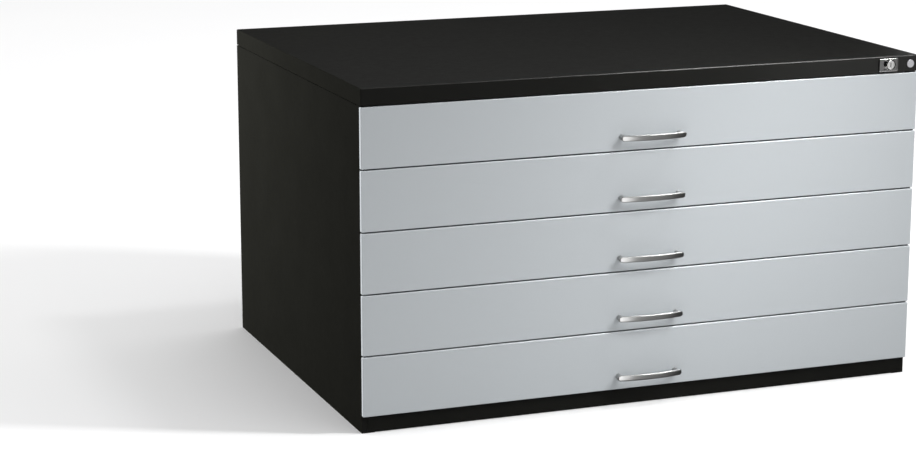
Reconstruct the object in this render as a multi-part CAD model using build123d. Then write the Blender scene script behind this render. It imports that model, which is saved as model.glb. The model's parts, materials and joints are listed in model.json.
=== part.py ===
from build123d import *
import math
import os

# Flat file cabinet for A0 sheets: a folded-steel carcass, five drawers on full-extension
# telescopic slides, a hood-shaped top cover and one lock that bolts every drawer.
# Millimetres. +X is right seen from the front, the drawer fronts face -Y, +Z is up and
# z = 0 is the floor. The origin is the centre of the bounding box's base.

# Overall size; depth runs from the drawer fronts to the back, without the handles
width = 1350.0
depth = 960.0
height = 760.0
handle_reach = 29.0
half_width = width / 2
front_y = -(depth + handle_reach) / 2 + handle_reach
back_y = front_y + depth

# Carcass sheet metal
sheet = 1.2
carcass_y = front_y + 10.0
panel_back_y = back_y - 1.5
side_flange = 13.0
side_lip = 20.0
rear_flange = 22.0
foot_flange = 30.0
panel_bend = 1.1
rim_inset = 2.0
rim_flange = 20.0
rear_fold = 18.0
rear_fold_inset = 30.0
fit = 0.4
seam_z = 720.3
apron_bottom_z = 722.5
cover_radius = 3.0
cover_under_z = height - sheet
cover_lip = 16.0
cover_lip_inset = 3.0
joggle = 4.2
plinth_bottom_z = 1.4
plinth_top_z = 52.0
base_top_z = 31.2
base_half_width = half_width - side_flange - 0.5
rail_y = front_y + 20.0
rail_depth = 20.0

# Drawers; heights are above each drawer's own datum, just over the lower edge of its front
drawer_count = 5
drawer_pitch = 136.7
lowest_drawer_z = 40.1
front_bottom = -0.9
front_top = 132.6
window_margin_x = 10.0
window_bottom = 24.0
window_top = 109.0
front_thickness = 9.0
front_radius = 2.0
drawer_sheet = 1.0
tray_half_width = 640.0
tray_length = 905.0
tray_bottom = 18.0
tray_top = 118.0
tray_front_y = front_y + front_thickness
tray_back_y = tray_front_y + tray_length
tray_rim = 8.0
hood_length = 150.0
hood_fold = 13.0
rivet_insets = (130, 25)
slide_height = 50.0
travel = 850.0

# Telescopic slides: each member is a C-profile (web, lip end, half height)
slide_length = 880.0
slide_y = front_y + 14.0
slide_sheet = 2.0
inner_sheet = 1.8
mid_sheet = 1.5
upright_x = 659.0
outer_lip_x = 646.0
outer_half = 24.0
mid_web_x = 654.0
mid_lip_x = 643.0
mid_half = 19.0
inner_lip_x = 650.0
inner_half = 12.0
upright_width = 40.0
upright_top_gap = 6.0
front_upright_y = front_y + 80.0
rear_upright_y = front_y + 780.0

# Hold-down flap at the front of each tray
flap_axis_y = front_y + 19.5
flap_axis = 53.0
flap_length = 74.0
flap_bead = 1.6
flap_thickness = 1.0
flap_barrel_radius = 4.6
flap_notch_half = 2.0
flap_half_width = 596.0
flap_rod_radius = 2.5
flap_lug_x = 598.0
flap_lug_half = 7.0

# Bow handle
handle_length = 160.0
handle_height = 29.5
handle_bar_height = 13.0
handle_bar_thickness = 7.0
handle_sagitta = 9.5
handle_post_x = 70.0
handle_post_radius = 6.3
handle_edge = 2.4

# Lock in the fascia
lock_x = 596.5
lock_z = 740.0
bezel_width = 49.3
bezel_height = 29.8
bezel_thickness = 3.0
bezel_corner = 3.2
bezel_edge = 1.0
bezel_border = 2.5
bezel_border_height = 0.9
field_corner = 1.6
pocket_width = 37.0
pocket_height = 22.6
pocket_floor_y = front_y + 6.0
dish_wall = 1.5
housing_radius = 12.0
housing_end_y = front_y + 34.0
collar_radius = 15.0
plug_x = 602.6
plug_head_radius = 10.4
plug_radius = 8.0
plug_tail_radius = 4.0
plug_reach = 2.0
plug_edge = 1.2
dimple_radius = 7.2
dimple_depth = 0.4
key_slot_half_width = 1.1
key_slot_half_height = 5.0
key_slot_depth = 11.0
crank_radius = 10.0
crank_hub_radius = 7.0
crank_tip_radius = 5.0
crank_thickness = 3.0
crank_pin_radius = 2.5
crank_pin_length = 10.0
crank_y = front_y + 36.0
badge_x = 654.7
badge_radius = 9.5
badge_thickness = 1.2
badge_edge = 0.8

# Lock bar inside the right side panel
bar_x = 664.0
bar_thickness = 3.0
bar_y = front_y + 42.0
bar_depth = 20.0
bar_bottom_z = 60.0
bar_arm_half = 6.5
bar_arm_reach = 16.0
bar_slot_length = 10.0
bar_slot_play = 0.5
tab_bottom = 78.0
tab_height = 14.0
tab_x = 648.0
tab_y = front_y + 55.0
tab_thickness = 3.0
catch_height = 100.0
catch_radius = 4.0
catch_gap = 1.5
catch_end_x = 658.0
catch_flange_radius = 7.0
catch_flange = 2.0
guide_heights = (100.0, 370.0, 640.0)
guide_length = 15.0
guide_wall = 4.0
guide_lip = 1.5
guide_play = 0.3

# Fasteners and feet
screw_radius = 2.0
hole_play = 0.05
slide_screw_head = (3.5, 1.6)
slide_screw_reach = 4.0
rear_screw_head = (4.0, 1.5)
rear_screw_length = 8.0
rear_screw_inset = 11.0
rear_screw_heights = (60, 210, 360, 510, 660)
handle_screw_head = (4.0, 2.4)
handle_screw_reach = 10.0
rivet_radius = 1.6
rivet_head = (3.0, 1.0)
rivet_grip = 2.0
foot_x = 620.0
foot_inset = 60.0
foot_radius = 18.0
foot_thickness = 6.0
foot_chamfer = 2.0
stem_radius = 5.0
stem_over_base = 14.0
nut_radius = 9.0
nut_height = 8.0


def block(x, y, z):
    """A box between the two given ends along each axis."""
    size = Box(x[1] - x[0], y[1] - y[0], z[1] - z[0])
    return Pos((x[0] + x[1]) / 2, (y[0] + y[1]) / 2, (z[0] + z[1]) / 2) * size


def rod_x(radius, x, y, z):
    """A round bar along X between two ends."""
    bar = Rot(0, 90, 0) * Cylinder(radius, x[1] - x[0])
    return Pos((x[0] + x[1]) / 2, y, z) * bar


def rod_y(radius, x, y, z):
    """A round bar along Y between two ends."""
    bar = Rot(90, 0, 0) * Cylinder(radius, y[1] - y[0])
    return Pos(x, (y[0] + y[1]) / 2, z) * bar


def rod_z(radius, x, y, z):
    """A round bar along Z between two ends."""
    return Pos(x, y, (z[0] + z[1]) / 2) * Cylinder(radius, z[1] - z[0])


def both_sides(shape):
    """The shape and its mirror image on the other side of the cabinet."""
    return [shape, mirror(shape, about=Plane.YZ)]


def edges_near(shape, axis, **place):
    """Edges along one axis whose middle has the given coordinates."""
    found = shape.edges().filter_by(axis)
    for name, value in place.items():
        found = found.filter_by(lambda edge: abs(getattr(edge.center(), name) - value) < 0.05)
    return found


# ---- carcass ----

def side_panel():
    """Right side: skin, front and rear flanges, foot flange and joggled top rim."""
    x_in = half_width - sheet
    flange_x = half_width - side_flange
    riser_x = half_width - joggle
    rim = (rail_y - rim_inset, panel_back_y - rim_inset)
    shape = block((x_in, half_width), (carcass_y, panel_back_y), (0, seam_z))
    shape += block((flange_x, half_width), (carcass_y, carcass_y + sheet), (0, seam_z))
    shape += block((flange_x, flange_x + sheet), (carcass_y, carcass_y + side_lip), (0, seam_z - sheet))
    shape += block((half_width - rear_flange, half_width), (panel_back_y - sheet, panel_back_y), (0, seam_z))
    shape += block((half_width - foot_flange, half_width), (carcass_y, panel_back_y), (0, sheet))
    shape = fillet(edges_near(shape, Axis.Z, X=half_width, Y=carcass_y), panel_bend)
    shape += block((riser_x, x_in), rim, (seam_z - sheet, seam_z))
    shape += block((riser_x, riser_x + sheet), rim, (seam_z - sheet, cover_under_z))
    shape += block((riser_x - rim_flange, riser_x + sheet), rim, (cover_under_z - sheet, cover_under_z))
    return shape


def rear_panel():
    """Back sheet, screwed against the inside of the side panels' rear flanges."""
    x = half_width - joggle - 0.5
    y = panel_back_y - 2 * sheet
    top = cover_under_z - sheet - fit
    fold_x = x - rear_fold_inset
    shape = block((-x, x), (y, y + sheet), (sheet + fit, top))
    shape += block((-fold_x, fold_x), (y - rear_fold, y + sheet), (top - sheet, top))
    for hole_x, hole_z in rear_screw_places():
        shape -= rod_y(screw_radius + hole_play, hole_x, (y - 1, y + sheet + 1), hole_z)
    return shape


def rear_screw_places():
    """Places of the screws that hold the back sheet, as (x, z)."""
    x = half_width - rear_screw_inset
    return [(side * x, z) for side in (-1, 1) for z in rear_screw_heights]


def top_cover():
    """Folded hood: top, aprons on all sides, and a return lip under the fascia."""
    size = (width, depth, height - apron_bottom_z)
    centre = Pos(0, (front_y + back_y) / 2, (height + apron_bottom_z) / 2)
    outer = centre * Box(*size)
    outer = fillet(edges_near(outer, Axis.Z), cover_radius)
    outer = fillet(outer.faces().sort_by(Axis.Z)[-1].edges(), cover_radius - 0.1)
    inner = Pos(0, 0, -sheet) * centre * Box(width - 2 * sheet, depth - 2 * sheet, size[2])
    inner_radius = cover_radius - sheet
    inner = fillet(edges_near(inner, Axis.Z), inner_radius)
    inner = fillet(inner.faces().sort_by(Axis.Z)[-1].edges(), inner_radius - 0.1)
    shape = outer - inner
    lip_x = half_width - sheet - cover_lip_inset
    shape += block((-lip_x, lip_x), (front_y + sheet / 2, front_y + cover_lip),
                   (apron_bottom_z, apron_bottom_z + sheet))
    return shape - lock_dish(dish_wall + hole_play)


def base_panel():
    """Floor of the carcass: an inverted pan that stands on the side panels' foot flanges."""
    x = base_half_width
    y = (carcass_y + side_lip + sheet, panel_back_y - 2 * sheet - 0.2)
    outer = block((-x, x), y, (sheet, base_top_z))
    inner = block((-x + sheet, x - sheet), (y[0] + sheet, y[1] - sheet), (0, base_top_z - sheet))
    shape = outer - inner
    for foot in foot_places():
        shape -= rod_z(stem_radius + 0.2, *foot, (0, base_top_z + 1))
    return shape


def plinth_panel():
    """Front plinth between the side panels, folded back along its four edges."""
    x = base_half_width
    y = (carcass_y, carcass_y + side_lip)
    shape = block((-x, x), y, (plinth_bottom_z, plinth_top_z))
    inner = block((-x + sheet, x - sheet), (y[0] + sheet, y[1] + 1),
                  (plinth_bottom_z + sheet, plinth_top_z - sheet))
    return shape - inner


def lock_rail():
    """Channel across the front under the cover; it stiffens the carcass and carries the lock."""
    x = half_width - joggle - 0.2
    z = (apron_bottom_z - 0.5, cover_under_z - sheet)
    shape = block((-x, x), (rail_y, rail_y + rail_depth), z)
    shape -= block((-x - 1, x + 1), (rail_y + sheet, rail_y + rail_depth + 1), (z[0] + sheet, z[1] - sheet))
    return shape - rod_y(housing_radius + hole_play, plug_x, (rail_y - 1, rail_y + 2), lock_z)


def slide_heights():
    """Height of each drawer's slides above the floor."""
    return [drawer_z(number) + slide_height for number in range(1, drawer_count + 1)]


def drawer_z(number):
    """Height of a drawer's datum above the floor; drawer 1 is the top one."""
    return lowest_drawer_z + (drawer_count - number) * drawer_pitch


def upright(y):
    """One channel that carries the outer slide members, open towards the side panel."""
    x = (upright_x, half_width - sheet)
    z = (base_top_z, seam_z - upright_top_gap)
    shape = block(x, (y, y + upright_width), z)
    shape -= block((x[0] + sheet, x[1] + 1), (y + sheet, y + upright_width - sheet), (z[0] - 1, z[1] + 1))
    for height_z in slide_heights():
        hole = rod_x(screw_radius + hole_play, (x[0] - 1, x[0] + 3), y + upright_width / 2, height_z)
        shape -= hole
    return shape


def slide_uprights():
    """Two uprights on each side."""
    return both_sides(upright(front_upright_y)) + both_sides(upright(rear_upright_y))


def channel(web, lip_x, half, thickness):
    """A C-profile along Y: a web between two x values and two flanges that reach lip_x."""
    y = (slide_y, slide_y + slide_length)
    x = (min(web[0], lip_x), max(web[1], lip_x))
    shape = block(x, y, (-half, half))
    if lip_x < web[0]:
        hollow = (lip_x - 1, web[0])
    else:
        hollow = (web[1], lip_x + 1)
    return shape - block(hollow, (y[0] - 1, y[1] + 1), (-half + thickness, half - thickness))


def outer_slide():
    """Fixed member, screwed to the two uprights."""
    shape = channel((upright_x - slide_sheet, upright_x), outer_lip_x, outer_half, slide_sheet)
    for y in (front_upright_y, rear_upright_y):
        hole_x = (upright_x - slide_sheet - 1, upright_x + 1)
        shape -= rod_x(screw_radius + hole_play, hole_x, y + upright_width / 2, 0)
    return shape


def outer_slides():
    """Ten fixed members, two for each drawer."""
    pair = both_sides(outer_slide())
    return [Pos(0, 0, z) * shape for z in slide_heights() for shape in pair]


def foot_places():
    """Places of the four levelling feet, as (x, y)."""
    ends = (carcass_y + foot_inset, panel_back_y - foot_inset)
    return [(x, y) for x in (-foot_x, foot_x) for y in ends]


def levelling_feet():
    """Four feet: a pad on the floor and a threaded stem through the base."""
    feet = []
    for x, y in foot_places():
        foot = rod_z(foot_radius, x, y, (0, foot_thickness))
        foot = chamfer(foot.edges().sort_by(Axis.Z)[-1], foot_chamfer)
        feet.append(foot + rod_z(stem_radius, x, y, (foot_thickness / 2, base_top_z + stem_over_base)))
    return feet


def foot_nut(x, y):
    """Hexagon nut on top of the base panel."""
    prism = extrude(RegularPolygon(nut_radius, 6), nut_height)
    nut = Pos(x, y, base_top_z) * prism
    return nut - rod_z(stem_radius + hole_play, x, y, (0, base_top_z + stem_over_base))


def slide_screw(y, z):
    """Pan-head screw through an outer slide member into its upright."""
    radius, thickness = slide_screw_head
    seat_x = upright_x - slide_sheet
    head = rod_x(radius, (seat_x - thickness, seat_x), y, z)
    return head + rod_x(screw_radius, (seat_x - thickness / 2, upright_x + slide_screw_reach), y, z)


def carcass_fixings():
    """Slide screws, rear panel screws and the nuts of the feet."""
    pieces = [foot_nut(x, y) for x, y in foot_places()]
    for z in slide_heights():
        for y in (front_upright_y, rear_upright_y):
            pieces += both_sides(slide_screw(y + upright_width / 2, z))
    radius, thickness = rear_screw_head
    for x, z in rear_screw_places():
        head = rod_y(radius, x, (panel_back_y, panel_back_y + thickness), z)
        shank = rod_y(screw_radius, x, (panel_back_y - rear_screw_length, panel_back_y + thickness / 2), z)
        pieces.append(head + shank)
    return pieces


def rear_flange_holes():
    """Cutters for the rear panel screws in the side panels."""
    return [rod_y(screw_radius + hole_play, x, (panel_back_y - 3, panel_back_y + 1), z)
            for x, z in rear_screw_places()]


# ---- lock ----

def stadium(length, breadth, y, x=lock_x, z=lock_z):
    """A block with half-round ends, its long axis along X."""
    straight = (length - breadth) / 2
    shape = block((x - straight, x + straight), y, (z - breadth / 2, z + breadth / 2))
    for side in (-1, 1):
        shape += rod_y(breadth / 2, x + side * straight, y, z)
    return shape


def lock_dish(wall):
    """Outside of the lock's dish, where it passes through the fascia."""
    return stadium(pocket_width + 2 * wall, pocket_height + 2 * wall, (front_y - 1, pocket_floor_y + 2))


def lock_bezel():
    """Die-cast surround with a raised border and a stadium-shaped pocket for the lock's face."""
    plate = block((lock_x - bezel_width / 2, lock_x + bezel_width / 2), (front_y - bezel_thickness, front_y),
                  (lock_z - bezel_height / 2, lock_z + bezel_height / 2))
    plate = fillet(edges_near(plate, Axis.Y), bezel_corner)
    plate = fillet(plate.faces().sort_by(Axis.Y)[0].edges(), bezel_edge)
    field_half_width = bezel_width / 2 - bezel_border
    field_half_height = bezel_height / 2 - bezel_border
    field = block((lock_x - field_half_width, lock_x + field_half_width),
                  (front_y - bezel_thickness - 1, front_y - bezel_thickness + bezel_border_height),
                  (lock_z - field_half_height, lock_z + field_half_height))
    field = fillet(edges_near(field, Axis.Y), field_corner)
    shape = plate - field + lock_dish(dish_wall)
    shape -= stadium(pocket_width, pocket_height, (front_y - bezel_thickness - 1, pocket_floor_y))
    return shape - rod_y(plug_radius + 0.3, plug_x, (front_y, pocket_floor_y + 3), lock_z)


def lock_housing():
    """Barrel behind the dish, with a collar against the rail, in which the plug turns."""
    start = pocket_floor_y + 2
    shape = rod_y(housing_radius, plug_x, (start, housing_end_y), lock_z)
    shape += rod_y(collar_radius, plug_x, (rail_y - 2, rail_y), lock_z)
    return shape - rod_y(plug_radius + 0.1, plug_x, (start - 1, housing_end_y + 1), lock_z)


def lock_plug():
    """Round key plug: head with a key slot, body and tail."""
    face_y = front_y - plug_reach
    head_end = pocket_floor_y - 0.3
    head = rod_y(plug_head_radius, plug_x, (face_y, head_end), lock_z)
    head = fillet(head.edges().sort_by(Axis.Y)[0], plug_edge)
    shape = head + rod_y(plug_radius, plug_x, (head_end - 1, crank_y - 0.5), lock_z)
    shape += rod_y(plug_tail_radius, plug_x, (crank_y - 1, crank_y + 5), lock_z)
    slot = block((plug_x - key_slot_half_width, plug_x + key_slot_half_width),
                 (face_y - 1, face_y + key_slot_depth),
                 (lock_z - key_slot_half_height, lock_z + key_slot_half_height))
    dimple = rod_y(dimple_radius, plug_x, (face_y - 1, face_y + dimple_depth), lock_z)
    return shape - dimple - slot


def lock_cam():
    """Crank on the plug's tail; its pin lifts the lock bar."""
    drop = crank_radius * math.sqrt(0.5)
    pin = (plug_x - drop, lock_z - drop)
    y = (crank_y, crank_y + crank_thickness)
    arm = rod_y(crank_hub_radius, plug_x, y, lock_z) + rod_y(crank_tip_radius, pin[0], y, pin[1])
    arm += rod_y(crank_pin_radius, pin[0], (crank_y, crank_y + crank_pin_length), pin[1])
    return arm - rod_y(plug_tail_radius + hole_play, plug_x, (crank_y - 1, crank_y + 6), lock_z)


def lock_bar():
    """Bar that the crank lifts: a tab for each drawer's catch pin and an arm with the crank's slot."""
    drop = crank_radius * math.sqrt(0.5)
    slot_z = lock_z - drop
    top = slot_z + bar_arm_half
    shape = block((bar_x, bar_x + bar_thickness), (bar_y, bar_y + bar_depth), (bar_bottom_z, top))
    shape += block((plug_x - bar_arm_reach, bar_x + bar_thickness), (bar_y, bar_y + bar_thickness),
                   (slot_z - bar_arm_half, top))
    slot_x = plug_x - (drop + crank_radius) / 2
    slot_height = 2 * (crank_pin_radius + bar_slot_play)
    shape -= stadium(bar_slot_length, slot_height, (bar_y - 1, bar_y + bar_thickness + 1), slot_x, slot_z)
    for number in range(1, drawer_count + 1):
        z = drawer_z(number) + tab_bottom
        shape += block((tab_x, bar_x + 1), (tab_y, tab_y + tab_thickness), (z, z + tab_height))
    return shape


def lock_bar_guides():
    """Three guides that hold the lock bar against the side panel."""
    guides = []
    for z in guide_heights:
        body = block((bar_x - guide_lip, half_width - sheet),
                     (bar_y - guide_wall, bar_y + bar_depth + guide_wall), (z, z + guide_length))
        body -= block((bar_x - guide_play, bar_x + bar_thickness + guide_play),
                      (bar_y - guide_play, bar_y + bar_depth + guide_play), (z - 1, z + guide_length + 1))
        guides.append(body)
    return guides


def blank_badge():
    """Plain round button on the fascia, with no marking."""
    shape = rod_y(badge_radius, badge_x, (front_y - badge_thickness, front_y), lock_z)
    return fillet(shape.edges().sort_by(Axis.Y)[0], badge_edge)


# ---- drawer, with its datum at z = 0 ----

def drawer_front():
    """Pan-shaped front; the sheet is folded back round all four edges."""
    outer = block((-half_width, half_width), (front_y, front_y + front_thickness), (front_bottom, front_top))
    outer = fillet(edges_near(outer, Axis.Y), front_radius)
    outer = fillet(outer.faces().sort_by(Axis.Y)[0].edges(), front_radius - 0.1)
    t = drawer_sheet
    inner = block((-half_width + t, half_width - t), (front_y + t, front_y + front_thickness - t),
                  (front_bottom + t, front_top - t))
    window_x = tray_half_width - window_margin_x
    window_y = (front_y + 2 * t, front_y + front_thickness + 1)
    window = block((-window_x, window_x), window_y, (window_bottom, window_top))
    shape = outer - inner - window
    for x in (-handle_post_x, handle_post_x):
        shape -= rod_y(screw_radius + 0.2, x, (front_y - 1, front_y + 2), handle_height)
    return shape


def drawer_tray():
    """Open tray with inward rims on its sides and lugs for the flap's hinge rod."""
    t = drawer_sheet
    x = tray_half_width
    shape = block((-x, x), (tray_front_y, tray_back_y), (tray_bottom, tray_top))
    shape -= block((-x + t, x - t), (tray_front_y + t, tray_back_y - t), (tray_bottom + t, tray_top - t))
    shape -= block((-x + tray_rim, x - tray_rim), (tray_front_y + t, tray_back_y - t),
                   (tray_top - 2 * t, tray_top + 1))
    for lug_x in (-flap_lug_x, 0, flap_lug_x):
        lug = block((lug_x - t, lug_x + t), (tray_front_y + t / 2, flap_axis_y + flap_lug_half - 1),
                    (flap_axis - flap_lug_half, flap_axis + flap_lug_half))
        shape += lug - rod_x(flap_rod_radius + hole_play, (lug_x - 2, lug_x + 2), flap_axis_y, flap_axis)
    for rivet_x, rivet_y in rivet_places():
        shape -= rod_z(rivet_radius + hole_play, rivet_x, rivet_y, (tray_top - 3, tray_top + 1))
    return shape


def rivet_places():
    """Places of the rivets that hold the rear hood under the tray's rims, as (x, y)."""
    x = tray_half_width - drawer_sheet - 4
    return [(side * x, tray_back_y - inset) for side in (-1, 1) for inset in rivet_insets]


def rear_hood():
    """Cover over the back of the tray; it stops sheets from slipping out behind."""
    t = drawer_sheet
    x = tray_half_width - t - 0.2
    y = (tray_back_y - hood_length, tray_back_y - t - 0.2)
    shape = block((-x, x), y, (tray_top - 2 * t, tray_top - t))
    shape += block((-x, x), (y[0], y[0] + t), (tray_top - t - hood_fold, tray_top - t))
    for rivet_x, rivet_y in rivet_places():
        shape -= rod_z(rivet_radius + hole_play, rivet_x, rivet_y, (tray_top - 4, tray_top + 1))
    return shape


def hold_down_flap():
    """Hinged flap that keeps the sheets' front edge down; it rests with its bead near the floor."""
    reach = flap_axis - tray_bottom - drawer_sheet - flap_bead - fit
    slope = math.degrees(math.asin(reach / flap_length))
    x = flap_half_width
    half = flap_thickness / 2
    leaf = block((-x, x), (flap_rod_radius + 0.9, flap_length), (-half, half))
    leaf += rod_x(flap_barrel_radius, (-x, x), 0, 0)
    leaf += rod_x(flap_bead, (-x, x), flap_length, 0)
    leaf -= rod_x(flap_rod_radius + 0.1, (-x - 1, x + 1), 0, 0)
    leaf -= block((-flap_notch_half, flap_notch_half), (-flap_lug_half - 1, flap_lug_half + 2),
                  (-flap_lug_half - 2, flap_lug_half + 2))
    return Pos(0, flap_axis_y, flap_axis) * Rot(-slope, 0, 0) * leaf


def handle():
    """Bow handle: a curved bar with full-round ends on two round posts."""
    half = handle_length / 2
    middle_y = front_y - handle_reach + handle_bar_thickness / 2
    end_y = middle_y + handle_sagitta
    outset = (half - handle_bar_thickness / 2, end_y)
    path = ThreePointArc((-outset[0], end_y), (0, middle_y), (outset[0], end_y))
    bar = extrude(trace(path, handle_bar_thickness), handle_bar_height)
    for x in (-outset[0], outset[0]):
        bar += rod_z(handle_bar_thickness / 2, x, end_y, (0, handle_bar_height))
    rims = bar.edges().filter_by(Axis.Z, reverse=True)
    bar = fillet(rims, handle_edge)
    bar = Pos(0, 0, handle_height - handle_bar_height / 2) * bar
    for x in (-handle_post_x, handle_post_x):
        bar += rod_y(handle_post_radius, x, (end_y - 3, front_y), handle_height)
        hole = (front_y - handle_screw_reach - 2, front_y + 1)
        bar -= rod_y(screw_radius + hole_play, x, hole, handle_height)
    return bar


def inner_slide():
    """Moving member on the tray's side."""
    web = (tray_half_width, tray_half_width + inner_sheet)
    return Pos(0, 0, slide_height) * channel(web, inner_lip_x, inner_half, inner_sheet)


def mid_slide():
    """Middle member, which travels half as far as the drawer."""
    web = (mid_web_x - mid_sheet, mid_web_x)
    return Pos(0, 0, slide_height) * channel(web, mid_lip_x, mid_half, mid_sheet)


def handle_screw(x):
    """Screw from inside the front into a handle post."""
    radius, thickness = handle_screw_head
    seat_y = front_y + drawer_sheet
    shank = (front_y - handle_screw_reach, seat_y + thickness / 2)
    head = rod_y(radius, x, (seat_y, seat_y + thickness), handle_height)
    return head + rod_y(screw_radius, x, shank, handle_height)


def rivet(x, y):
    """Rivet through the tray's rim and the rear hood, with a head on both sides."""
    radius, thickness = rivet_head
    under = tray_top - rivet_grip
    shape = rod_z(rivet_radius, x, y, (under - thickness / 2, tray_top + thickness / 2))
    shape += rod_z(radius, x, y, (tray_top, tray_top + thickness))
    return shape + rod_z(radius, x, y, (under - thickness, under))


def drawer_fixings():
    """Handle screws, hood rivets, the flap's hinge rod and the catch pin of the lock."""
    pieces = [handle_screw(x) for x in (-handle_post_x, handle_post_x)]
    pieces += [rivet(x, y) for x, y in rivet_places()]
    pieces.append(rod_x(flap_rod_radius, (-flap_lug_x - 4, flap_lug_x + 4), flap_axis_y, flap_axis))
    pin_y = tab_y + tab_thickness + catch_gap + catch_radius
    pin = rod_x(catch_radius, (tray_half_width, catch_end_x), pin_y, catch_height)
    flange_x = (tray_half_width, tray_half_width + catch_flange)
    pieces.append(pin + rod_x(catch_flange_radius, flange_x, pin_y, catch_height))
    return pieces


def drawer_nodes():
    """Every node of one drawer, at z = 0."""
    return {
        "front": [drawer_front()],
        "tray": [drawer_tray()],
        "rear_hood": [rear_hood()],
        "flap": [hold_down_flap()],
        "handle": [handle()],
        "inner_slides": both_sides(inner_slide()),
        "mid_slides": both_sides(mid_slide()),
        "fixings": drawer_fixings(),
    }


def carcass_nodes():
    """Every node of the carcass and its lock."""
    sides = both_sides(side_panel())
    holes = rear_flange_holes()
    return {
        "right_side_panel": [sides[0] - holes],
        "left_side_panel": [sides[1] - holes],
        "rear_panel": [rear_panel()],
        "top_cover": [top_cover()],
        "base_panel": [base_panel()],
        "plinth_panel": [plinth_panel()],
        "lock_rail": [lock_rail()],
        "slide_uprights": slide_uprights(),
        "outer_slides": outer_slides(),
        "levelling_feet": levelling_feet(),
        "carcass_fixings": carcass_fixings(),
        "lock_bezel": [lock_bezel()],
        "lock_housing": [lock_housing()],
        "lock_plug": [lock_plug()],
        "lock_cam": [lock_cam()],
        "lock_bar": [lock_bar()],
        "lock_bar_guides": lock_bar_guides(),
        "blank_badge": [blank_badge()],
    }


def write_node(name, solids):
    """Write one node's solids to its STEP file."""
    shape = solids[0] if len(solids) == 1 else Compound(children=solids)
    export_step(shape, "parts/" + name + ".step")


def main():
    os.makedirs("parts", exist_ok=True)
    for name, solids in carcass_nodes().items():
        write_node(name, solids)
    for name, solids in drawer_nodes().items():
        for number in range(1, drawer_count + 1):
            lift = Pos(0, 0, drawer_z(number))
            write_node("drawer_%d_%s" % (number, name), [lift * solid for solid in solids])


main()
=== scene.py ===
import json
import math
import bmesh
import bpy
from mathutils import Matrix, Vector


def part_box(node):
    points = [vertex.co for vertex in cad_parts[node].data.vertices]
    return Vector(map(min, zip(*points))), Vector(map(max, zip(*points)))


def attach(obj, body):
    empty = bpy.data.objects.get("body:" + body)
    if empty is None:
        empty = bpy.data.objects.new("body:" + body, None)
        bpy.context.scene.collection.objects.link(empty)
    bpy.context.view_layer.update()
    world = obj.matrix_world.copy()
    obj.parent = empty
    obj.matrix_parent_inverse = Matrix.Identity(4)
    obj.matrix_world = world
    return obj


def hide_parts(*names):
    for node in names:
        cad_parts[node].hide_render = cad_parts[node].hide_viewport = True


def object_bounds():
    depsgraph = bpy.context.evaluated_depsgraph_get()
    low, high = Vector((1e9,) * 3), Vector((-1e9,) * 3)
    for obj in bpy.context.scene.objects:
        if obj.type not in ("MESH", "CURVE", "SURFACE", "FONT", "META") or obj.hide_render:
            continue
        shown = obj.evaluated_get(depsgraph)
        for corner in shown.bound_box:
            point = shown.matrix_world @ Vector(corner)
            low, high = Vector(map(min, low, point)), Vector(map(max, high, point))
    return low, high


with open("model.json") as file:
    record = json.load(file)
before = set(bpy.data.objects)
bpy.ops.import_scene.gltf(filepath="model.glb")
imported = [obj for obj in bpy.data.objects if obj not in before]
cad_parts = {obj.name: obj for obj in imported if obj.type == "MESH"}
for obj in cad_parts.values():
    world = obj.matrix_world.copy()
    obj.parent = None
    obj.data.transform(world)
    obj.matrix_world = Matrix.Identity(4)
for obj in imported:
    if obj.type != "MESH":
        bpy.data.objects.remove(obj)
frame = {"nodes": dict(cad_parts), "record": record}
cad_low, cad_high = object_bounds()
nodes = frame["nodes"]

# Camera: its place in metres from the foot of the front's middle, its lens and sensor in millimetres
CAMERA_FROM_FRONT = Vector((-2.234, -4.672, 1.574))
CAMERA_YAW = math.radians(20.84)
CAMERA_PITCH = math.radians(12.68)
CAMERA_LENS = 93.3
CAMERA_SENSOR = 36.0

# Bow handle: a bar of 7 x 13 mm bent to an arc, on two posts
DRAWERS = 5
BOW_THICKNESS = 0.007
BOW_SAGITTA = 0.0095
BOW_END_RADIUS = 0.0085
BOW_END_MARGIN = 0.0005
BOW_SQUARENESS = 4.5
BOW_STEPS = 96
RING_POINTS = 40
TIP_OPENING = 1e-5
POST_X = 0.070
POST_PROFILE = ((0.0, 0.0058), (0.15, 0.0060), (0.6, 0.0060), (0.85, 0.0062), (0.93, 0.0065), (1.0, 0.0065))

# Studio: places and sizes in metres, bearings and beams in degrees
FLOOR_SIZE = 80.0
FRONT_TARGET = Vector((0.05, 0.0, 0.25))
GRAZE_RIGHT_PLACE = Vector((1.3, -1.2, 1.6))
GRAZE_TOP_PLACE = Vector((0.8, -1.1, 1.9))
GRAZE_SIZE = (0.35, 0.35)
GRAZE_BEAM = 46.0
KEY_AZIMUTH = 60.6
CARCASS_DISTANCE = 4.0
CORNER_INSET = 0.2
CORNER_SHEEN_PLACE = (2.2, 1.5, 1.1)
SIDE_WASH_PLACE = (-2.0, 1.2, 1.05)
SIDE_WASH_HEIGHT = 0.5
SIDE_WASH_DEPTH = 0.3
SHADOW_DISTANCE = 9.0
SHADOW_SIZE = (0.9, 1.5)
HANDLE_TARGET_HEIGHT = 0.2
HANDLE_CARD_DISTANCE = 0.9
HANDLE_CARD_LENGTH = 1.3
FASCIA_AZIMUTH = 34.0
FASCIA_ELEVATION = -9.0
FASCIA_CARD_DISTANCE = 1.5
LOCK_CARD_SIZE = (1.0, 0.8)
LOCK_AZIMUTH = 20.0


# ---- node materials ----

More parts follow.
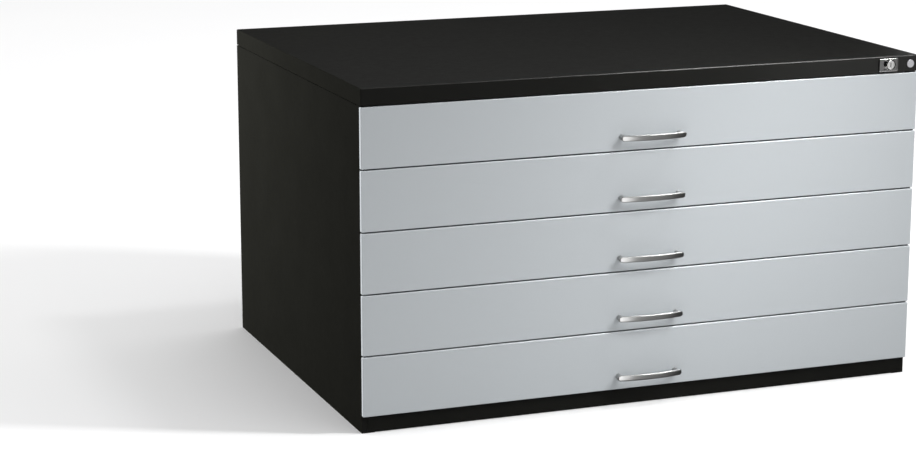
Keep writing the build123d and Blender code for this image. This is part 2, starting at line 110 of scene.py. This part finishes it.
def new_material(name, colour, roughness, metallic=0.0, specular=0.5):
    """A Principled material with its uniform values on the shader's own sockets."""
    material = bpy.data.materials.new(name)
    material.use_nodes = True
    shader = material.node_tree.nodes["Principled BSDF"]
    shader.inputs["Base Color"].default_value = (*colour, 1.0)
    shader.inputs["Roughness"].default_value = roughness
    shader.inputs["Metallic"].default_value = metallic
    shader.inputs["Specular IOR Level"].default_value = specular
    return material, shader


def noise(material, scale, detail=3.0, stretch=(1.0, 1.0, 1.0)):
    """The factor output of a noise texture in object space; scale is in cells for each metre."""
    tree = material.node_tree
    place = tree.nodes.new("ShaderNodeTexCoord")
    mapping = tree.nodes.new("ShaderNodeMapping")
    texture = tree.nodes.new("ShaderNodeTexNoise")
    mapping.inputs["Scale"].default_value = stretch
    texture.inputs["Scale"].default_value = scale
    texture.inputs["Detail"].default_value = detail
    tree.links.new(place.outputs["Object"], mapping.inputs["Vector"])
    tree.links.new(mapping.outputs["Vector"], texture.inputs["Vector"])
    return texture.outputs["Fac"]


def spread(material, factor, low, high):
    """Maps a noise factor, mostly between 0.3 and 0.7, to the range from low to high."""
    node = material.node_tree.nodes.new("ShaderNodeMapRange")
    node.inputs["From Min"].default_value = 0.3
    node.inputs["From Max"].default_value = 0.7
    node.inputs["To Min"].default_value = low
    node.inputs["To Max"].default_value = high
    material.node_tree.links.new(factor, node.inputs["Value"])
    return node.outputs["Result"]


def vary_colour(material, shader, factor, dark, light):
    """Base colour that wanders between two near colours."""
    node = material.node_tree.nodes.new("ShaderNodeMix")
    node.data_type = "RGBA"
    node.inputs["A"].default_value = (*dark, 1.0)
    node.inputs["B"].default_value = (*light, 1.0)
    material.node_tree.links.new(spread(material, factor, 0.0, 1.0), node.inputs["Factor"])
    material.node_tree.links.new(node.outputs["Result"], shader.inputs["Base Color"])


def vary_roughness(material, shader, factor, low, high):
    """Roughness that wanders between two values."""
    material.node_tree.links.new(spread(material, factor, low, high), shader.inputs["Roughness"])


def add_bump(material, shader, factor, depth, strength=1.0):
    """Surface relief; depth is in metres."""
    node = material.node_tree.nodes.new("ShaderNodeBump")
    node.inputs["Distance"].default_value = depth
    node.inputs["Strength"].default_value = strength
    material.node_tree.links.new(factor, node.inputs["Height"])
    material.node_tree.links.new(node.outputs["Normal"], shader.inputs["Normal"])


def black_powder_coat(name, tone):
    """Satin black; tone is the mean reflectance, a little lower in blue."""
    dark = (tone * 0.95, tone * 0.95, tone * 0.80)
    light = (tone * 1.07, tone * 1.07, tone * 0.90)
    material, shader = new_material(name, (tone, tone, tone * 0.85), 0.42, specular=0.25)
    vary_colour(material, shader, noise(material, 9.0, 4.0), dark, light)
    vary_roughness(material, shader, noise(material, 60.0, 5.0), 0.40, 0.44)
    add_bump(material, shader, noise(material, 1400.0, 2.0), 0.00002, 0.4)
    shader.inputs["Coat Weight"].default_value = 0.45
    shader.inputs["Coat Roughness"].default_value = 0.19
    return material


def silver_powder_coat():
    """Silver-grey coat of the drawer fronts, with a fine metallic grain."""
    material, shader = new_material("silver_powder_coat", (0.50, 0.53, 0.55), 0.42, metallic=0.35)
    vary_colour(material, shader, noise(material, 2600.0, 2.0), (0.49, 0.52, 0.54), (0.53, 0.56, 0.58))
    vary_roughness(material, shader, noise(material, 45.0, 4.0), 0.40, 0.44)
    add_bump(material, shader, noise(material, 1300.0, 2.0), 0.00003, 0.5)
    return material


def satin_nickel():
    """Handle metal, brushed along its length."""
    material, shader = new_material("satin_nickel", (0.48, 0.48, 0.475), 0.30, metallic=1.0)
    brushed = noise(material, 900.0, 3.0, stretch=(0.03, 1.0, 1.0))
    vary_roughness(material, shader, brushed, 0.28, 0.32)
    add_bump(material, shader, brushed, 0.000003, 0.3)
    return material


def chrome():
    """Bright plating of the lock surround and plug."""
    material, shader = new_material("lock_chrome", (0.72, 0.72, 0.71), 0.10, metallic=1.0)
    vary_roughness(material, shader, noise(material, 350.0, 4.0), 0.07, 0.16)
    return material


def zinc_plate(name, tone):
    """Dull plated steel; tone is the mean reflectance."""
    material, shader = new_material(name, (tone, tone, tone * 1.02), 0.34, metallic=0.6)
    vary_colour(material, shader, noise(material, 120.0, 4.0), (tone * 0.85,) * 3, (tone * 1.08,) * 3)
    vary_roughness(material, shader, noise(material, 200.0, 4.0), 0.28, 0.42)
    add_bump(material, shader, noise(material, 1500.0, 2.0), 0.00001, 0.4)
    return material


def satin_aluminium():
    """Metal of the blank badge."""
    material, shader = new_material("satin_aluminium", (0.75, 0.75, 0.78), 0.30, metallic=1.0)
    vary_roughness(material, shader, noise(material, 700.0, 3.0), 0.26, 0.36)
    return material


def moulded_plastic(name, tone):
    """Matt plastic; tone is the mean reflectance."""
    material, shader = new_material(name, (tone,) * 3, 0.5)
    vary_roughness(material, shader, noise(material, 300.0, 4.0), 0.45, 0.58)
    add_bump(material, shader, noise(material, 1800.0, 2.0), 0.00003, 0.5)
    return material


def paint_nodes():
    """Gives every CAD node the material of its record slot, and returns the materials."""
    by_slot = {
        "carcass_paint": black_powder_coat("black_powder_coat", 0.0082),
        "tray_paint": black_powder_coat("tray_powder_coat", 0.022),
        "front_paint": silver_powder_coat(),
        "handle_nickel": satin_nickel(),
        "lock_chrome": chrome(),
        "slide_steel": zinc_plate("slide_zinc", 0.60),
        "zinc_steel": zinc_plate("hardware_zinc", 0.50),
        "badge_aluminium": satin_aluminium(),
        "foot_plastic": moulded_plastic("foot_plastic", 0.02),
        "guide_plastic": moulded_plastic("guide_plastic", 0.05),
    }
    for part in frame["record"]["subparts"]:
        node = nodes[part["node"]]
        node.data.materials.clear()
        node.data.materials.append(by_slot[part["material_slot"]])
    return by_slot


# ---- handles ----

def superellipse(angle, half_width, half_height, power):
    """A point of a rounded rectangle about the origin."""
    x = math.copysign(abs(math.cos(angle)) ** (2.0 / power), math.cos(angle))
    y = math.copysign(abs(math.sin(angle)) ** (2.0 / power), math.sin(angle))
    return half_width * x, half_height * y


def skin(mesh, rings):
    """Faces between successive rings of points, with a fan over each end."""
    loops = [[mesh.verts.new(point) for point in ring] for ring in rings]
    count = len(loops[0])
    for first, second in zip(loops, loops[1:]):
        for step in range(count):
            following = (step + 1) % count
            mesh.faces.new((first[step], first[following], second[following], second[step]))
    for loop, flip in ((loops[0], True), (loops[-1], False)):
        middle = mesh.verts.new(sum((vertex.co for vertex in loop), Vector()) / count)
        for step in range(count):
            corner = (loop[step], loop[(step + 1) % count], middle)
            mesh.faces.new(corner[::-1] if flip else corner)


def cap(distance, radius):
    """How far a full-round end has opened at a distance from its tip, from 0 to 1."""
    inside = min(max(distance / radius, 0.0), 1.0)
    return math.sqrt(1.0 - (1.0 - inside) ** 2)


def bow_rings(low, high):
    """Cross-sections of the bow, from its left end to its right one."""
    half = (high.x - low.x) / 2 - BOW_END_MARGIN
    arc_radius = (half ** 2 + BOW_SAGITTA ** 2) / (2 * BOW_SAGITTA)
    half_angle = math.asin(half / arc_radius)
    centre_y = low.y + BOW_THICKNESS / 2 + arc_radius
    middle_x = (low.x + high.x) / 2
    middle_z = (low.z + high.z) / 2
    for step in range(BOW_STEPS + 1):
        share = 0.5 - 0.5 * math.cos(math.pi * step / BOW_STEPS)
        turn = (2 * share - 1) * half_angle
        from_tip = (half_angle - abs(turn)) * arc_radius + TIP_OPENING
        tall = (high.z - low.z) / 2 * cap(from_tip, BOW_END_RADIUS)
        thick = BOW_THICKNESS / 2 * cap(from_tip, BOW_THICKNESS / 2)
        outward = Vector((math.sin(turn), -math.cos(turn), 0.0))
        spine = Vector((middle_x, centre_y, middle_z)) + arc_radius * outward
        ring = []
        for corner in range(RING_POINTS):
            across, up = superellipse(2 * math.pi * corner / RING_POINTS, thick, tall, BOW_SQUARENESS)
            ring.append(spine + across * outward + Vector((0.0, 0.0, up)))
        yield ring


def post_rings(x, z, start_y, end_y):
    """Cross-sections of one turned post, from inside the bow to the drawer front."""
    length = end_y - start_y
    for share, radius in POST_PROFILE:
        ring = []
        for corner in range(RING_POINTS):
            angle = 2 * math.pi * corner / RING_POINTS
            offset = (radius * math.cos(angle), share * length, radius * math.sin(angle))
            ring.append(Vector((x, start_y, z)) + Vector(offset))
        yield ring


def add_handle(number, material):
    """A bow handle: a swept bar with full-round ends on two turned posts."""
    node = "drawer_%d_handle" % number
    low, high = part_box(node)
    mesh = bmesh.new()
    skin(mesh, list(bow_rings(low, high)))
    start_y = low.y + BOW_SAGITTA
    for side in (-1, 1):
        skin(mesh, list(post_rings(side * POST_X, (low.z + high.z) / 2, start_y, high.y)))
    bmesh.ops.recalc_face_normals(mesh, faces=mesh.faces)
    for face in mesh.faces:
        face.smooth = True
    data = bpy.data.meshes.new("bow_handle_%d" % number)
    mesh.to_mesh(data)
    mesh.free()
    handle = bpy.data.objects.new("bow_handle_%d" % number, data)
    bpy.context.scene.collection.objects.link(handle)
    data.materials.append(material)
    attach(handle, "drawer_%d" % number)
    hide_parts(node)
    return handle


# ---- studio ----

def add_floor():
    """A plain pale floor that mirrors nothing into the paint."""
    bpy.ops.mesh.primitive_plane_add(size=FLOOR_SIZE)
    floor = bpy.context.object
    floor.name = "floor"
    material, shader = new_material("floor_paint", (0.90, 0.90, 0.90), 0.9, specular=0.1)
    vary_colour(material, shader, noise(material, 0.6, 2.0), (0.895, 0.895, 0.90), (0.905, 0.905, 0.905))
    floor.data.materials.append(material)
    floor.visible_glossy = False
    return floor


def bearing(azimuth, elevation):
    """Unit vector; azimuth turns from straight in front towards the right, in degrees."""
    turn, rise = math.radians(azimuth), math.radians(elevation)
    return Vector((math.sin(turn) * math.cos(rise), -math.cos(turn) * math.cos(rise), math.sin(rise)))


def aim(light_object, direction):
    """Turns a light so that it shines along a direction."""
    light_object.rotation_euler = direction.to_track_quat("-Z", "Y").to_euler()


def add_softbox(name, place, target, size, power, receivers, beam=180.0):
    """A rectangular area light that faces a target and lights only its receivers."""
    light = bpy.data.lights.new(name, "AREA")
    light.shape = "RECTANGLE"
    light.size, light.size_y = size
    light.energy = power
    light.spread = math.radians(beam)
    box = bpy.data.objects.new(name, light)
    bpy.context.scene.collection.objects.link(box)
    box.location = place
    box.visible_camera = False
    box.light_linking.receiver_collection = receivers
    aim(box, Vector(target) - Vector(place))
    return box


def add_sun(name, direction, strength, width):
    """A broad even light from far away; width is the angle that it fills, in degrees."""
    light = bpy.data.lights.new(name, "SUN")
    light.energy = strength
    light.angle = math.radians(width)
    sun = bpy.data.objects.new(name, light)
    bpy.context.scene.collection.objects.link(sun)
    aim(sun, direction)


def add_world():
    """An even white surround that fills shadows but isn't mirrored by glossy surfaces."""
    world = bpy.data.worlds.new("studio")
    world.use_nodes = True
    world.node_tree.nodes["Background"].inputs["Color"].default_value = (1.0, 1.0, 1.0, 1.0)
    world.node_tree.nodes["Background"].inputs["Strength"].default_value = 0.90
    world.cycles_visibility.glossy = False
    bpy.context.scene.world = world


def collect(name, objects):
    """A collection of objects that a light may be limited to."""
    group = bpy.data.collections.new(name)
    for item in objects:
        group.objects.link(item)
    return group


def light_fronts(cabinet, foot):
    """Two narrow beams from the upper right that fade across the drawer fronts."""
    target = foot + FRONT_TARGET
    add_softbox("graze_right", foot + GRAZE_RIGHT_PLACE, target, GRAZE_SIZE, 1.38, cabinet, GRAZE_BEAM)
    add_softbox("graze_top", foot + GRAZE_TOP_PLACE, target, GRAZE_SIZE, 1.22, cabinet, GRAZE_BEAM)


def light_carcass(cabinet, shell, middle):
    """A sheen behind the top, a key for the folded edges, and lamps for the corner, fascia and left side."""
    sheen_place = middle + CARCASS_DISTANCE * bearing(159, 32)
    key_place = middle + CARCASS_DISTANCE * bearing(KEY_AZIMUTH, 58)
    add_softbox("sheen_top", sheen_place, middle, (2.5, 1.0), 2.6, cabinet)
    add_softbox("edge_key", key_place, middle, (0.8, 0.8), 80.0, shell)
    cover = collect("cover", [nodes["top_cover"]])
    low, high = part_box("top_cover")
    corner = Vector((high.x - CORNER_INSET, low.y, high.z))
    fascia_place = corner + FASCIA_CARD_DISTANCE * bearing(FASCIA_AZIMUTH, FASCIA_ELEVATION)
    add_softbox("sheen_corner", CORNER_SHEEN_PLACE, corner, (0.5, 0.3), 1.2, cover)
    add_softbox("fascia_card", fascia_place, corner, (0.6, 0.4), 0.4, cover)
    side = (low.x, SIDE_WASH_DEPTH, SIDE_WASH_HEIGHT)
    wash = add_softbox("side_wash", SIDE_WASH_PLACE, side, (0.8, 0.8), 125.0, shell)
    wash.visible_glossy = False


def light_floor(floor, middle):
    """Two strips at one bearing, which throw the soft shadow on the floor and light nothing else."""
    ground = collect("ground", [floor])
    high_place = middle + SHADOW_DISTANCE * bearing(KEY_AZIMUTH, 62)
    low_place = middle + SHADOW_DISTANCE * bearing(KEY_AZIMUTH, 21)
    add_softbox("shadow_high", high_place, middle, SHADOW_SIZE, 98.0, ground)
    add_softbox("shadow_low", low_place, middle, SHADOW_SIZE, 758.0, ground)


def light_handles(handles, blockers, target):
    """A bright card off the bows' left ends and a grey one across their middles.

    The cards reach below the floor. Only the cabinet blocks their light.
    """
    left_place = target + HANDLE_CARD_DISTANCE * bearing(-6, 0)
    grey_place = target + HANDLE_CARD_DISTANCE * bearing(26, 0)
    left = add_softbox("card_left", left_place, target, (0.20, HANDLE_CARD_LENGTH), 2.8, handles)
    grey = add_softbox("card_grey", grey_place, target, (0.56, HANDLE_CARD_LENGTH), 0.65, handles)
    for card in (left, grey):
        card.light_linking.blocker_collection = blockers


def light_lock():
    """A dim card that the surround mirrors, a brighter one for the plug and badge, two for the rims."""
    low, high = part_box("lock_bezel")
    target = (low + high) / 2
    surround = collect("surround", [nodes["lock_bezel"]])
    bright = collect("plug_and_badge", [nodes["lock_plug"], nodes["blank_badge"]])
    both = collect("lock", [nodes["lock_bezel"], nodes["lock_plug"]])
    card_place = target + FASCIA_CARD_DISTANCE * bearing(FASCIA_AZIMUTH, FASCIA_ELEVATION)
    rim_place = target + 1.2 * bearing(LOCK_AZIMUTH, 45)
    sill_place = target + 0.6 * bearing(LOCK_AZIMUTH, -50)
    add_softbox("lock_card", card_place, target, LOCK_CARD_SIZE, 0.5, surround)
    add_softbox("plug_card", card_place, target, LOCK_CARD_SIZE, 1.9, bright)
    add_softbox("rim_card", rim_place, target, (1.0, 0.5), 5.0, both)
    add_softbox("sill_card", sill_place, target, (0.6, 0.3), 1.2, both)


def add_lights(floor, handles):
    """Every lamp of the studio; all but the overhead sun light only the objects that they are given."""
    pieces = [item for item in bpy.context.scene.objects if item.type == "MESH" and item != floor]
    cabinet = collect("cabinet_pieces", pieces)
    shell = collect("shell", [piece for piece in pieces if piece not in handles])
    middle = (cad_low + cad_high) / 2
    foot = Vector((0.0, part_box("top_cover")[0].y, 0.0))
    light_fronts(cabinet, foot)
    light_carcass(cabinet, shell, middle)
    light_floor(floor, middle)
    add_sun("overhead", -bearing(0, 88), 0.19, 60.0)
    light_handles(collect("handles", handles), cabinet, foot + Vector((0.0, 0.0, HANDLE_TARGET_HEIGHT)))
    light_lock()


def add_camera():
    """The photograph's viewing angle: off the left of the front, looking down at the cabinet."""
    data = bpy.data.cameras.new("camera")
    data.lens = CAMERA_LENS
    data.sensor_width = CAMERA_SENSOR
    camera = bpy.data.objects.new("camera", data)
    bpy.context.scene.collection.objects.link(camera)
    camera.location = CAMERA_FROM_FRONT + Vector((0.0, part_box("top_cover")[0].y, 0.0))
    camera.rotation_euler = (math.pi / 2 - CAMERA_PITCH, 0.0, -CAMERA_YAW)
    bpy.context.scene.camera = camera


bpy.context.scene.view_settings.view_transform = "Standard"
finishes = paint_nodes()
handles = [add_handle(number, finishes["handle_nickel"]) for number in range(1, DRAWERS + 1)]
floor = add_floor()
add_world()
add_lights(floor, handles)
add_camera()
